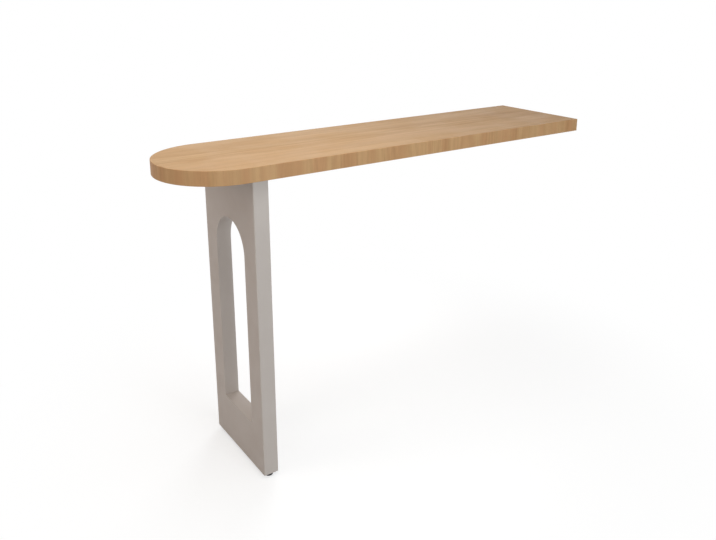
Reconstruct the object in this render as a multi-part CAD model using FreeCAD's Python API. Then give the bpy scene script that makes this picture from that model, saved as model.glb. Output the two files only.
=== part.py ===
import FreeCAD, Part
import math
import os

# Wall-fixed pub table: a rounded laminated top on one arched sheet-steel leg with two levelling feet.
# Millimetres, +Z up. The floor is Z = 0, the round end points to -X and the wall end to +X.

# Overall sizes of the table
TABLE_LENGTH = 1600.0       # round end to wall end
TABLE_WIDTH = 400.0         # front edge to back edge, also twice the radius of the round end
TABLE_HEIGHT = 1050.0       # floor to the upper face

# Layers of the top
FACE_LAMINATE = 1.0
UPPER_CORE = 25.0
LOWER_CORE = 18.0
BACKER_LAMINATE = 1.0
EDGE_BAND = 2.0             # lipping on the long sides and the round end
EDGE_BAND_ARRIS = 1.0       # chamfer on the lipping's outer edges
END_BAND = 1.0              # flush lipping on the wall end

# Leg: a folded tray, closed by a back sheet and lined through its arch
LEG_END_INSET = 225.0       # round end of the top to the leg's arched face
LEG_EDGE_INSET = 20.0       # long edge of the top to the leg's narrow side
LEG_DEPTH = 50.0            # measured along the table
SHEET = 2.0                 # sheet steel of tray, back and liners
BEND_RADIUS = 2.0           # inside radius of the folds
STILE_WIDTH = 78.0          # narrow side of the leg to the opening
SILL_RISE = 158.0           # lower end of the leg to the sill
CROWN_DROP = 158.0          # underside of the top to the crown of the arch
FOOT_PLATE = 5.0
FOOT_PLATE_RELIEF = 1.0     # the plate's corner radius exceeds the fold's by this
HEAD_PLATE = 4.0
HEAD_FLANGE = 35.0          # the head plate stands out past each broad face by this
HEAD_CORNER = 10.0          # corner radius of the head plate

# Screws and inserts that hold the leg to the top
LEG_SCREW_DIAMETER = 6.0
LEG_SCREW_END_INSET = 50.0  # end of the head plate to a screw
LEG_SCREW_REACH = 12.0      # how far a screw enters the top
LEG_SCREW_HEAD_DIAMETER = 12.0
LEG_SCREW_HEAD_HEIGHT = 3.3
INSERT_DIAMETER = 10.0
INSERT_LENGTH = 13.0
INSERT_BORE_SPARE = 1.0     # bore in the top goes deeper than insert and screw by this
HOLE_SPARE = 0.3            # radial room round a screw in a plate
THREAD_SPARE = 0.05         # radial room between a screw and its thread, and round an insert

# Levelling feet
FOOT_INSET = 20.0           # narrow side of the leg to the foot's axis
FOOT_TURN_IN = 1.45         # room left to screw a foot in
FOOT_TRAVEL = 10.0          # how far a foot screws out
PAD_DIAMETER = 28.0
PAD_TOP_DIAMETER = 19.0
PAD_HEIGHT = 6.5
PAD_RIM = 3.0               # height of the upright rim
STUD_DIAMETER = 8.0
STUD_HEX = 13.0             # across flats
STUD_HEX_HEIGHT = 4.0
COLLAR_DIAMETER = 12.0      # collar of the stud, held in the pad
COLLAR_HEIGHT = 2.0
COLLAR_FLOOR = 1.5          # pad left under the collar
NUT_HEX = 14.0              # across flats
NUT_HEIGHT = 6.5
RUN_SPARE = 0.05            # running clearance of the stud in pad and nut
STUD_HOLE_SPARE = 0.5       # radial room round the stud in the foot plate

# Steel angle at the wall end
ANGLE_EDGE_INSET = 100.0    # long edge of the top to the end of the angle
ANGLE_SHELF = 40.0          # flange under the top
ANGLE_DROP = 25.0           # flange on the wall
ANGLE_SHEET = 3.0
ANGLE_BEND_RADIUS = 2.0     # inside radius
WALL_HOLE_DIAMETER = 6.5
WALL_HOLE_END_INSET = 40.0  # end of the angle to a wall hole
WALL_HOLE_RISE = 11.0       # lower edge of the angle to a wall hole
ANGLE_SCREW_DIAMETER = 4.0
ANGLE_SCREW_REACH = 14.0    # how far a screw enters the top
ANGLE_SCREW_END_INSET = 20.0
ANGLE_SCREW_HEAD_DIAMETER = 8.0
ANGLE_SCREW_HEAD_HEIGHT = 2.6

# Places that follow from the sizes
x_round = -TABLE_LENGTH / 2
x_wall = TABLE_LENGTH / 2
half_width = TABLE_WIDTH / 2
x_arc = x_round + half_width
z_top = TABLE_HEIGHT
z_under_face = z_top - FACE_LAMINATE
z_core_joint = z_under_face - UPPER_CORE
z_backer = z_core_joint - LOWER_CORE
z_underside = z_backer - BACKER_LAMINATE

leg_half = half_width - LEG_EDGE_INSET
x_leg_face = x_round + LEG_END_INSET
x_leg_back = x_leg_face + LEG_DEPTH
x_leg = (x_leg_face + x_leg_back) / 2
z_leg_low = PAD_HEIGHT + RUN_SPARE + STUD_HEX_HEIGHT + FOOT_TURN_IN
z_leg_high = z_underside - HEAD_PLATE
arch_half = leg_half - STILE_WIDTH
z_sill = z_leg_low + SILL_RISE
z_spring = z_underside - CROWN_DROP - arch_half

foot_y = leg_half - FOOT_INSET
PAST = 1.0                  # cutters run past the faces they cut by this


def vec(x, y, z):
    return FreeCAD.Vector(x, y, z)


def block(x, y, z):
    """A box from its low and high value on each axis."""
    return Part.makeBox(x[1] - x[0], y[1] - y[0], z[1] - z[0], vec(x[0], y[0], z[0]))


def rod(diameter, x, y, z):
    """An upright cylinder between two heights."""
    return Part.makeCylinder(diameter / 2, z[1] - z[0], vec(x, y, z[0]))


def turned(profile, x, y):
    """A solid turned about an upright axis from (radius, height) points."""
    points = [vec(x + r, y, z) for r, z in profile]
    face = Part.Face(Part.makePolygon(points + [points[0]]))
    return face.revolve(vec(x, y, 0), vec(0, 0, 1), 360)


def hexagon(flats, x, y, z):
    """An upright hexagonal bar between two heights."""
    radius = flats / math.sqrt(3)
    corners = []
    for i in range(7):
        angle = math.radians(60 * i)
        corners.append(vec(x + radius * math.cos(angle), y + radius * math.sin(angle), z[0]))
    return Part.Face(Part.makePolygon(corners)).extrude(vec(0, 0, z[1] - z[0]))


def top_layer(side, end, z):
    """The outline of the top, taken in at the sides and at the wall end, between two heights."""
    half = half_width - side
    x_end = x_wall - end
    front = Part.makeLine(vec(x_end, -half, z[0]), vec(x_arc, -half, z[0]))
    nose = Part.Arc(vec(x_arc, -half, z[0]), vec(x_arc - half, 0, z[0]), vec(x_arc, half, z[0]))
    back = Part.makeLine(vec(x_arc, half, z[0]), vec(x_end, half, z[0]))
    close = Part.makeLine(vec(x_end, half, z[0]), vec(x_end, -half, z[0]))
    outline = Part.Wire([front, nose.toShape(), back, close])
    return Part.Face(outline).extrude(vec(0, 0, z[1] - z[0]))


def tray(x_web, x_open, half, radius, z):
    """An upright block with its two corners on the web side rounded."""
    a = vec(x_open, -half, z[0])
    b = vec(x_web + radius, -half, z[0])
    c = vec(x_web, -half + radius, z[0])
    d = vec(x_web, half - radius, z[0])
    e = vec(x_web + radius, half, z[0])
    f = vec(x_open, half, z[0])
    cut = radius * (1 - math.sqrt(0.5))
    fold_low = Part.Arc(b, vec(x_web + cut, -half + cut, z[0]), c)
    fold_high = Part.Arc(d, vec(x_web + cut, half - cut, z[0]), e)
    edges = [Part.makeLine(a, b), fold_low.toShape(), Part.makeLine(c, d), fold_high.toShape()]
    edges += [Part.makeLine(e, f), Part.makeLine(f, a)]
    return Part.Face(Part.Wire(edges)).extrude(vec(0, 0, z[1] - z[0]))


def arch(half, z_low, x):
    """A doorway shape with a round head, running along X."""
    a = vec(x[0], -half, z_low)
    b = vec(x[0], half, z_low)
    c = vec(x[0], half, z_spring)
    d = vec(x[0], -half, z_spring)
    head = Part.Arc(c, vec(x[0], 0, z_spring + half), d)
    edges = [Part.makeLine(a, b), Part.makeLine(b, c), head.toShape(), Part.makeLine(d, a)]
    return Part.Face(Part.Wire(edges)).extrude(vec(x[1] - x[0], 0, 0))


def cut_all(solid, cutters):
    for cutter in cutters:
        solid = solid.cut(cutter)
    return solid


def save(name, solids):
    """Write one node, as one solid or as a group of separate solids."""
    shape = solids[0] if len(solids) == 1 else Part.makeCompound(solids)
    shape.exportStep("parts/" + name + ".step")


os.makedirs("parts", exist_ok=True)

# Places of the fixings under the top
leg_screw_row = LEG_DEPTH / 2 + HEAD_FLANGE / 2
leg_screw_pitch = leg_half - LEG_SCREW_END_INSET
leg_screw_places = []
for x in (x_leg - leg_screw_row, x_leg + leg_screw_row):
    for y in (-leg_screw_pitch, leg_screw_pitch):
        leg_screw_places.append((x, y))

angle_half = half_width - ANGLE_EDGE_INSET
angle_screw_x = x_wall - ANGLE_SHEET - (ANGLE_SHELF - ANGLE_SHEET) / 2
angle_screw_pitch = angle_half - ANGLE_SCREW_END_INSET
angle_screw_places = [(angle_screw_x, -angle_screw_pitch), (angle_screw_x, angle_screw_pitch)]

# Bores in the underside of the top
insert_bore_depth = max(INSERT_LENGTH, LEG_SCREW_REACH) + INSERT_BORE_SPARE
underside_bores = []
for x, y in leg_screw_places:
    span = (z_underside - PAST, z_underside + insert_bore_depth)
    underside_bores.append(rod(INSERT_DIAMETER + 2 * THREAD_SPARE, x, y, span))
for x, y in angle_screw_places:
    span = (z_underside - PAST, z_underside + ANGLE_SCREW_REACH + THREAD_SPARE)
    underside_bores.append(rod(ANGLE_SCREW_DIAMETER + 2 * THREAD_SPARE, x, y, span))

# Layers of the top
face_laminate = top_layer(EDGE_BAND, END_BAND, (z_under_face, z_top))
upper_core = top_layer(EDGE_BAND, END_BAND, (z_core_joint, z_under_face))
lower_core = top_layer(EDGE_BAND, END_BAND, (z_backer, z_core_joint))
backer = top_layer(EDGE_BAND, END_BAND, (z_underside, z_backer))
save("face_laminate", [face_laminate])
save("upper_core_board", [cut_all(upper_core, underside_bores)])
save("lower_core_board", [cut_all(lower_core, underside_bores)])
save("backer_laminate", [cut_all(backer, underside_bores)])

# Lipping round the top, its outer edges eased
outer = top_layer(0.0, 0.0, (z_underside, z_top))
arris = []
for edge in outer.Edges:
    box = edge.BoundBox
    if box.ZLength < 0.001 and box.XLength > 1.0:
        arris.append(edge)
outer = outer.makeChamfer(EDGE_BAND_ARRIS, arris)
inside = top_layer(EDGE_BAND, -PAST, (z_underside - PAST, z_top + PAST))
save("edge_band", [outer.cut(inside)])

end_side = half_width - EDGE_BAND
end_band = block((x_wall - END_BAND, x_wall), (-end_side, end_side), (z_underside, z_top))
save("end_band", [end_band])

# Folded tray of the leg, with the arch cut through its web
inside_x = (x_leg_face + SHEET, x_leg_back - SHEET)
leg_z = (z_leg_low, z_leg_high)
opening = arch(arch_half, z_sill, (x_leg_face - PAST, x_leg_back + PAST))
shell = tray(x_leg_face, x_leg_back, leg_half, BEND_RADIUS + SHEET, leg_z)
hollow_z = (z_leg_low - PAST, z_leg_high + PAST)
hollow = tray(inside_x[0], x_leg_back + PAST, leg_half - SHEET, BEND_RADIUS, hollow_z)
save("leg_shell", [cut_all(shell, [hollow, opening])])

# Back sheet between the tray's walls
wall_inside = leg_half - SHEET
back_sheet = block((inside_x[1], x_leg_back), (-wall_inside, wall_inside), leg_z)
save("leg_back_sheet", [back_sheet.cut(opening)])

# Strips that line the opening, between the two arched sheets
liner = arch(arch_half + SHEET, z_sill, inside_x)
liner_opening = arch(arch_half, z_sill - PAST, (inside_x[0] - PAST, inside_x[1] + PAST))
save("arch_liner", [liner.cut(liner_opening)])
sill_y = (-arch_half - SHEET, arch_half + SHEET)
save("sill_liner", [block(inside_x, sill_y, (z_sill - SHEET, z_sill))])

# Head plate under the top
flange_x = (x_leg_face - HEAD_FLANGE, x_leg_back + HEAD_FLANGE)
head_plate = block(flange_x, (-leg_half, leg_half), (z_leg_high, z_underside))
upright = [e for e in head_plate.Edges if e.BoundBox.ZLength > HEAD_PLATE / 2]
head_plate = head_plate.makeFillet(HEAD_CORNER, upright)
screw_holes = []
for x, y in leg_screw_places:
    span = (z_leg_high - PAST, z_underside + PAST)
    screw_holes.append(rod(LEG_SCREW_DIAMETER + 2 * HOLE_SPARE, x, y, span))
save("head_plate", [cut_all(head_plate, screw_holes)])

# Foot plate in the leg's lower end, with a hole for each stud
foot_places = (("front", -foot_y), ("rear", foot_y))
plate_z = (z_leg_low, z_leg_low + FOOT_PLATE)
plate_corner = BEND_RADIUS + FOOT_PLATE_RELIEF
foot_plate = tray(inside_x[0], inside_x[1], wall_inside, plate_corner, plate_z)
stud_holes = []
for side, y in foot_places:
    span = (plate_z[0] - PAST, plate_z[1] + PAST)
    stud_holes.append(rod(STUD_DIAMETER + 2 * STUD_HOLE_SPARE, x_leg, y, span))
save("foot_plate", [cut_all(foot_plate, stud_holes)])

# Nuts welded on the foot plate
nut_z = (plate_z[1], plate_z[1] + NUT_HEIGHT)
nuts = []
for side, y in foot_places:
    bore = rod(STUD_DIAMETER + 2 * RUN_SPARE, x_leg, y, (nut_z[0] - PAST, nut_z[1] + PAST))
    nuts.append(hexagon(NUT_HEX, x_leg, y, nut_z).cut(bore))
save("leveller_nuts", nuts)

# Inserts in the top and the screws that hold the leg
inserts = []
screws = []
shank_r = LEG_SCREW_DIAMETER / 2
head_r = LEG_SCREW_HEAD_DIAMETER / 2
z_head = z_leg_high - LEG_SCREW_HEAD_HEIGHT
insert_z = (z_underside, z_underside + INSERT_LENGTH)
insert_bore_z = (insert_z[0] - PAST, insert_z[1] + PAST)
for x, y in leg_screw_places:
    insert_bore = rod(LEG_SCREW_DIAMETER + 2 * THREAD_SPARE, x, y, insert_bore_z)
    inserts.append(rod(INSERT_DIAMETER, x, y, insert_z).cut(insert_bore))
    screw_profile = [
        (0.0, z_head),
        (head_r, z_head),
        (head_r, z_leg_high),
        (shank_r, z_leg_high),
        (shank_r, z_underside + LEG_SCREW_REACH),
        (0.0, z_underside + LEG_SCREW_REACH),
    ]
    screws.append(turned(screw_profile, x, y))
save("leg_inserts", inserts)
save("leg_screws", screws)

# Levelling feet: a pad that stands still and a captive stud that turns in it
neck_r = STUD_DIAMETER / 2
collar_r = COLLAR_DIAMETER / 2
pad_r = PAD_DIAMETER / 2
collar_top = COLLAR_FLOOR + COLLAR_HEIGHT
hex_low = PAD_HEIGHT + RUN_SPARE
hex_high = hex_low + STUD_HEX_HEIGHT
stud_high = nut_z[1] + FOOT_TRAVEL
for side, y in foot_places:
    pad_profile = [
        (0.0, 0.0),
        (pad_r, 0.0),
        (pad_r, PAD_RIM),
        (PAD_TOP_DIAMETER / 2, PAD_HEIGHT),
        (neck_r + RUN_SPARE, PAD_HEIGHT),
        (neck_r + RUN_SPARE, collar_top + RUN_SPARE),
        (collar_r + RUN_SPARE, collar_top + RUN_SPARE),
        (collar_r + RUN_SPARE, COLLAR_FLOOR - RUN_SPARE),
        (0.0, COLLAR_FLOOR - RUN_SPARE),
    ]
    save(side + "_foot_base", [turned(pad_profile, x_leg, y)])
    stud_profile = [
        (0.0, COLLAR_FLOOR),
        (collar_r, COLLAR_FLOOR),
        (collar_r, collar_top),
        (neck_r, collar_top),
        (neck_r, stud_high),
        (0.0, stud_high),
    ]
    stud = turned(stud_profile, x_leg, y).fuse(hexagon(STUD_HEX, x_leg, y, (hex_low, hex_high)))
    save(side + "_foot_stud", [stud])

# Steel angle at the wall end
drop_z = (z_underside - ANGLE_DROP, z_underside)
shelf_x = (x_wall - ANGLE_SHELF, x_wall)
angle_y = (-angle_half, angle_half)
angle = block(shelf_x, angle_y, drop_z)
corner = [e for e in angle.Edges if e.BoundBox.XMin > x_wall - 0.01 and e.BoundBox.ZMin > z_underside - 0.01]
angle = angle.makeFillet(ANGLE_BEND_RADIUS + ANGLE_SHEET, corner)
room_x = (shelf_x[0] - PAST, x_wall - ANGLE_SHEET)
room_z = (drop_z[0] - PAST, z_underside - ANGLE_SHEET)
room = block(room_x, (angle_y[0] - PAST, angle_y[1] + PAST), room_z)
corner = [e for e in room.Edges if e.BoundBox.XMin > room_x[1] - 0.01 and e.BoundBox.ZMin > room_z[1] - 0.01]
room = room.makeFillet(ANGLE_BEND_RADIUS, corner)
angle_holes = [room]
wall_hole_y = angle_half - WALL_HOLE_END_INSET
for y in (-wall_hole_y, wall_hole_y):
    start = vec(x_wall - ANGLE_SHELF, y, drop_z[0] + WALL_HOLE_RISE)
    angle_holes.append(Part.makeCylinder(WALL_HOLE_DIAMETER / 2, ANGLE_SHELF + PAST, start, vec(1, 0, 0)))
for x, y in angle_screw_places:
    span = (room_z[1] - PAST, z_underside + PAST)
    angle_holes.append(rod(ANGLE_SCREW_DIAMETER + 2 * HOLE_SPARE, x, y, span))
save("wall_angle", [cut_all(angle, angle_holes)])

# Wood screws through the angle into the top
angle_screws = []
z_seat = z_underside - ANGLE_SHEET
z_crown = z_seat - ANGLE_SCREW_HEAD_HEIGHT
z_tip = z_underside + ANGLE_SCREW_REACH
screw_r = ANGLE_SCREW_DIAMETER / 2
pan_r = ANGLE_SCREW_HEAD_DIAMETER / 2
for x, y in angle_screw_places:
    screw_profile = [
        (0.0, z_crown),
        (pan_r, z_crown),
        (pan_r, z_seat),
        (screw_r, z_seat),
        (screw_r, z_tip),
        (0.0, z_tip),
    ]
    angle_screws.append(turned(screw_profile, x, y))
save("wall_angle_screws", angle_screws)
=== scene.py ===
# %% [markdown]
# # Dressing a wall-fixed pub table
#
# The table is a round-ended board that butts against a wall. One painted steel leg with an arched
# opening carries its free end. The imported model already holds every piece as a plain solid, at its
# right size and place. This lesson keeps those places, models each piece again with the small forms
# that catch the light, and gives each its finish. Only the two hidden core boards stay as solids and
# just get a finish.

import bmesh
import bpy
import math
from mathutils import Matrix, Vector


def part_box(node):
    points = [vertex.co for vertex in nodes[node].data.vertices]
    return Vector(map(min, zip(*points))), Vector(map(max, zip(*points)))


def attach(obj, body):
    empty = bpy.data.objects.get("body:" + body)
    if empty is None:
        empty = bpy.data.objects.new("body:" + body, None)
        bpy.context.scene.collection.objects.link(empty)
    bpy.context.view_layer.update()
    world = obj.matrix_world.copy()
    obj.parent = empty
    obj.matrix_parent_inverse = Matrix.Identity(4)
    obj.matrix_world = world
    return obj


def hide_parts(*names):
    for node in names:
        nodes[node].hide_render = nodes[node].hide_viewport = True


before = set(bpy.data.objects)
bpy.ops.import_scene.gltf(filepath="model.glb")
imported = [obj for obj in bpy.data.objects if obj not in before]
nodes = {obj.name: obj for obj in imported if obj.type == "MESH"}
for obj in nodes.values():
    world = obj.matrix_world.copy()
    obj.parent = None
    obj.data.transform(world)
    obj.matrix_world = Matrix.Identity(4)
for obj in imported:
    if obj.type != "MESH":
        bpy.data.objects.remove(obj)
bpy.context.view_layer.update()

# %% [markdown]
# ## The camera first
#
# The viewpoint was worked out from the straight edges of the board and the leg in the photograph.
# The photograph is cropped off-centre, so the lens is also shifted a little. The camera is set before
# anything else, so that every test render can be compared with the photograph.

# %% Set the camera
PHOTO_WIDTH = 716
PHOTO_HEIGHT = 540
FOCAL_LENGTH = 738.24  # in pixels of the photograph
OPTICAL_CENTRE = (358.156, 197.538)
CAMERA_PLACE = (-1.47985, -2.04776, 1.55175)
CAMERA_YAW = 0.598277  # to the right of +Y
CAMERA_PITCH = 0.282734  # below level
SENSOR = 36.0  # width in millimetres

camera_turn = (math.pi / 2 - CAMERA_PITCH, 0, -CAMERA_YAW)
bpy.ops.object.camera_add(location=CAMERA_PLACE, rotation=camera_turn)
camera = bpy.context.object
camera.data.sensor_width = SENSOR
camera.data.lens = FOCAL_LENGTH / PHOTO_WIDTH * SENSOR
camera.data.shift_x = (PHOTO_WIDTH / 2 - OPTICAL_CENTRE[0]) / PHOTO_WIDTH
camera.data.shift_y = (OPTICAL_CENTRE[1] - PHOTO_HEIGHT / 2) / PHOTO_WIDTH
bpy.context.scene.camera = camera
print("lens", round(camera.data.lens, 2), "mm, shift", round(camera.data.shift_y, 4))

# %% [markdown]
# ## Places read from the solids
#
# A piece has to sit exactly where its solid is. The sizes could be typed in again, but then two
# files would have to agree by hand. Reading the solids' boxes gives the same numbers from one source.

# %% Read the main places
board_low, board_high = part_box("edge_band")
face_low, face_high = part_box("face_laminate")
backer_low, backer_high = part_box("backer_laminate")
leg_low, leg_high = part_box("leg_shell")
liner_low, liner_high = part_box("arch_liner")
sill_low, sill_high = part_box("sill_liner")

half_width = board_high.y
x_wall = board_high.x
x_arc = board_low.x + half_width  # middle of the round end
lipping = board_high.y - face_high.y
end_lipping = x_wall - face_high.x
sheet = sill_high.z - sill_low.z  # thickness of the leg's sheet steel
x_leg = (leg_low.x + leg_high.x) / 2
arch_half = liner_high.y - sheet
z_sill = sill_high.z
z_crown = liner_high.z - sheet
print("sheet", round(sheet * 1000, 2), "mm, arch", round(arch_half * 2000, 1), "mm wide")

# %% [markdown]
# ## Working as by hand
#
# An operator acts on whatever is selected, so each piece starts with an empty selection. Corners and
# edges are then chosen in code, by their place or the angle they make, where a modeller would click on
# them.

# %% Helpers for selecting
CLOSE = 1e-5  # two places nearer than this count as the same
DOUBLED = 1e-6  # two corners nearer than this are merged


def clear_selection():
    """Leave edit mode and deselect every object."""
    if bpy.context.mode != "OBJECT":
        bpy.ops.object.mode_set(mode="OBJECT")
    bpy.ops.object.select_all(action="DESELECT")


def work_on(piece, mode="OBJECT"):
    """Make one piece the only one selected, in the wanted mode."""
    clear_selection()
    piece.select_set(True)
    bpy.context.view_layer.objects.active = piece
    bpy.ops.object.mode_set(mode=mode)


def pick(piece, kind, test):
    """In edit mode, select the corners or edges that pass a test."""
    bpy.ops.mesh.select_mode(type=kind)
    bpy.ops.mesh.select_all(action="DESELECT")
    shape = bmesh.from_edit_mesh(piece.data)
    for part in {"VERT": shape.verts, "EDGE": shape.edges}[kind]:
        if test(part):
            part.select_set(True)
    shape.select_flush_mode()
    bmesh.update_edit_mesh(piece.data)


def tidy_normals():
    """In edit mode, merge doubled corners and turn every face outwards."""
    bpy.ops.mesh.select_all(action="SELECT")
    bpy.ops.mesh.remove_doubles(threshold=DOUBLED)
    bpy.ops.mesh.normals_make_consistent(inside=False)


def near(a, b):
    return abs(a - b) < CLOSE


def lies_at(axis, value):
    """A test for edges that lie at one place along X, Y or Z."""
    index = "XYZ".index(axis)
    return lambda edge: all(near(corner.co[index], value) for corner in edge.verts)


print("selection helpers ready")

# %% [markdown]
# ## Sheets, slabs and bent strips
#
# Most pieces start as flat material. A rectangle gets rounded corners by a corner bevel, and becomes a
# slab by an extrude. A strip that goes round something, such as the lipping or the folded leg, starts
# from the same rectangle: its face is taken away, the open side is deleted, the outline that is left is
# pulled into a wall, and Solidify gives the wall its thickness.

# %% Helpers for flat sheets
LEVEL = (0.0, 0.0, 0.0)
FACING_X = (0.0, math.pi / 2, 0.0)  # stands across the table: its first size is its height
FACING_Y = (math.pi / 2, 0.0, 0.0)  # stands along the table: its second size is its height


def new_sheet(name, size, middle, stand=LEVEL):
    """A flat rectangle with its place in its mesh."""
    clear_selection()
    bpy.ops.mesh.primitive_plane_add(size=1, location=middle, rotation=stand)
    piece = bpy.context.object
    piece.name = name
    piece.scale = (*size, 1)
    bpy.ops.object.transform_apply()
    return piece


def box_side(name, low, high, upright=False):
    """The rectangle at the bottom of a box or, if upright, on its side away from the wall."""
    x, y, z = (low + high) / 2
    width = high.y - low.y
    if upright:
        return new_sheet(name, (high.z - low.z, width), (low.x, y, z), FACING_X)
    return new_sheet(name, (high.x - low.x, width), (x, y, low.z))


def round_corners(piece, radius, steps, test):
    """Round the flat corners that pass a test."""
    work_on(piece, "EDIT")
    pick(piece, "VERT", test)
    bpy.ops.mesh.bevel(offset=radius, segments=steps, affect="VERTICES")
    bpy.ops.mesh.select_all(action="SELECT")
    bpy.ops.mesh.remove_doubles(threshold=CLOSE)


print("flat sheet helpers ready")

# %% Helpers for slabs and walls
INWARDS = -1
OUTWARDS = 1


def pull(piece, along):
    """Extrude the whole flat piece into a slab, or an outline into a wall."""
    work_on(piece, "EDIT")
    bpy.ops.mesh.select_all(action="SELECT")
    bpy.ops.mesh.extrude_region_move(TRANSFORM_OT_translate={"value": along})
    tidy_normals()


def open_outline(piece, dropped):
    """Keep only the outline of a flat piece, without the edges that pass a test."""
    work_on(piece, "EDIT")
    bpy.ops.mesh.select_mode(type="FACE")
    bpy.ops.mesh.select_all(action="SELECT")
    bpy.ops.mesh.delete(type="ONLY_FACE")
    pick(piece, "EDGE", dropped)
    bpy.ops.mesh.delete(type="EDGE")


def modify(piece, kind, **settings):
    """Add a modifier to a piece, set it and apply it."""
    work_on(piece)
    step = piece.modifiers.new(kind.lower(), kind)
    for name, value in settings.items():
        setattr(step, name, value)
    bpy.ops.object.modifier_apply(modifier=step.name)


def thicken(piece, thickness, side):
    """Give a wall its thickness on one side."""
    modify(piece, "SOLIDIFY", thickness=thickness, offset=side, use_even_offset=True)


print("slab and wall helpers ready")

# %% [markdown]
# ## Cutting, easing and shading
#
# Holes and the arch are punched with the Boolean modifier, as a press would. No real edge is
# perfectly sharp: a bevel of a few tenths of a millimetre gives each edge the thin line of light that
# makes it look solid. Weighted normals then keep the big faces flat up to those narrow bevels.

# %% Helpers for cutting
ROUND_SIDES = 40  # facets of a drilled hole or a plain round bar
DRILL_LENGTH = 0.03  # more than any hole is deep


def combine(piece, other, operation):
    """Cut, join or intersect a piece with another one, which is then thrown away."""
    modify(piece, "BOOLEAN", operation=operation, object=other, solver="EXACT")
    bpy.data.objects.remove(other)


def new_rod(name, radius, length, middle, sides=ROUND_SIDES, stand=LEVEL):
    """A straight bar, upright unless it is turned, with its place in its mesh."""
    clear_selection()
    bpy.ops.mesh.primitive_cylinder_add(
        vertices=sides, radius=radius, depth=length, location=middle, rotation=stand
    )
    piece = bpy.context.object
    piece.name = name
    bpy.ops.object.transform_apply()
    return piece


def drill(piece, diameter, places, z, stand=LEVEL):
    """Drill round holes at one height, upright unless they are turned."""
    for place in places:
        bit = new_rod("drill", diameter / 2, DRILL_LENGTH, (*place, z), stand=stand)
        combine(piece, bit, "DIFFERENCE")


print("cutting helpers ready")

# %% Helpers for edges and shading
SHARP = math.radians(35)  # edges bent by more than this count as sharp
SMOOTH = math.radians(46)  # edges bent by less than this are shaded smooth


def is_sharp(edge):
    return len(edge.link_faces) == 2 and edge.calc_face_angle() > SHARP


def sharp_at(axis, value):
    """A test for sharp edges that lie at one place along X, Y or Z."""
    lies_there = lies_at(axis, value)
    return lambda edge: is_sharp(edge) and lies_there(edge)


def ease(piece, width, steps=2, test=is_sharp):
    """Round the chosen edges, by default all sharp ones."""
    work_on(piece, "EDIT")
    pick(piece, "EDGE", test)
    bpy.ops.mesh.bevel(offset=width, segments=steps, affect="EDGES")
    tidy_normals()


pieces_in = {}  # finished pieces, listed by the slot of their finish


def hand_over(piece, slot, *solids, body="table"):
    """Shade a finished piece smooth and set it on its body in place of its solids."""
    work_on(piece)
    bpy.ops.object.shade_smooth_by_angle(angle=SMOOTH)
    modify(piece, "WEIGHTED_NORMAL", keep_sharp=True)
    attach(piece, body)
    if solids:
        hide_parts(*solids)
    pieces_in.setdefault(slot, []).append(piece)
    print(piece.name, "has", len(piece.data.polygons), "faces")


print("edge and shading helpers ready")

# %% [markdown]
# ## The board: face and backing
#
# The face is a sheet of decor laminate inside the lipping, and a plain sheet balances it underneath.
# A circle cut in half and pulled long would do, but rounding two corners of a rectangle by half its
# width gives the same round end in one step. The face's rim is eased by a hair, which leaves the fine
# joint line that shows between face and lipping.

# %% Model the face and the backing
NOSE_STEPS = 56  # facets in a quarter of the round end
JOINT_EASE = 0.00012


def board_sheet(name, z, side, end):
    """The outline of the board, taken in at the sides and at the wall end."""
    half = half_width - side
    low = x_arc - half
    high = x_wall - end
    piece = new_sheet(name, (high - low, 2 * half), ((low + high) / 2, 0, z))
    round_corners(piece, half, NOSE_STEPS, lambda corner: corner.co.x < x_arc)
    return piece


face_sheet = board_sheet("face_sheet", face_low.z, lipping, end_lipping)
pull(face_sheet, (0, 0, face_high.z - face_low.z))
ease(face_sheet, JOINT_EASE, test=sharp_at("Z", face_high.z))
hand_over(face_sheet, "face_decor", "face_laminate")

backing_sheet = board_sheet("backing_sheet", backer_low.z, lipping, end_lipping)
pull(backing_sheet, (0, 0, backer_high.z - backer_low.z))
print("backing waits for its holes")

# %% [markdown]
# ## The lipping
#
# A 2 mm band is glued round the board's long sides and its round end, and a thinner one covers the
# square end. The real band is a strip bent round the board, so it is modelled as one: an outline
# pulled up into a wall and thickened inwards. Its outer edges are routed round after gluing, here by
# a bevel along just those edges.

# %% Model the side lipping
ROUTED_EDGE = 0.001
RIM_SLACK = 2e-5  # a corner this near to the outline is on the rim


def rim_distance(corner):
    """How far a corner lies inside the board's outline."""
    if corner.co.x > x_arc:
        return half_width - abs(corner.co.y)
    return half_width - math.hypot(corner.co.x - x_arc, corner.co.y)


def is_routed(edge):
    level = near(edge.verts[0].co.z, edge.verts[1].co.z)
    on_rim = all(abs(rim_distance(corner)) < RIM_SLACK for corner in edge.verts)
    return is_sharp(edge) and level and on_rim


side_lipping = board_sheet("side_lipping", board_low.z, 0.0, 0.0)
open_outline(side_lipping, lies_at("X", x_wall))
pull(side_lipping, (0, 0, board_high.z - board_low.z))
thicken(side_lipping, lipping, INWARDS)
ease(side_lipping, ROUTED_EDGE, steps=4, test=is_routed)
hand_over(side_lipping, "edge_decor", "edge_band")

# %% Model the end lipping
END_EASE = 0.0004
end_low, end_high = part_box("end_band")
wall_lipping = box_side("wall_lipping", end_low, end_high, upright=True)
pull(wall_lipping, (end_lipping, 0, 0))
ease(wall_lipping, END_EASE, test=lies_at("X", x_wall))
hand_over(wall_lipping, "end_decor", "end_band")

# %% [markdown]
# ## The leg: a folded tray with an arch
#
# The leg looks like one slab, but such legs are folded from sheet steel. The tray's plan is a
# three-sided outline with rounded folds, pulled up to the leg's height. The arch is a rectangle with
# its two upper corners rounded by half its width, punched through. Only edges that show are eased, so
# that the hidden joints stay tight.

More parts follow.
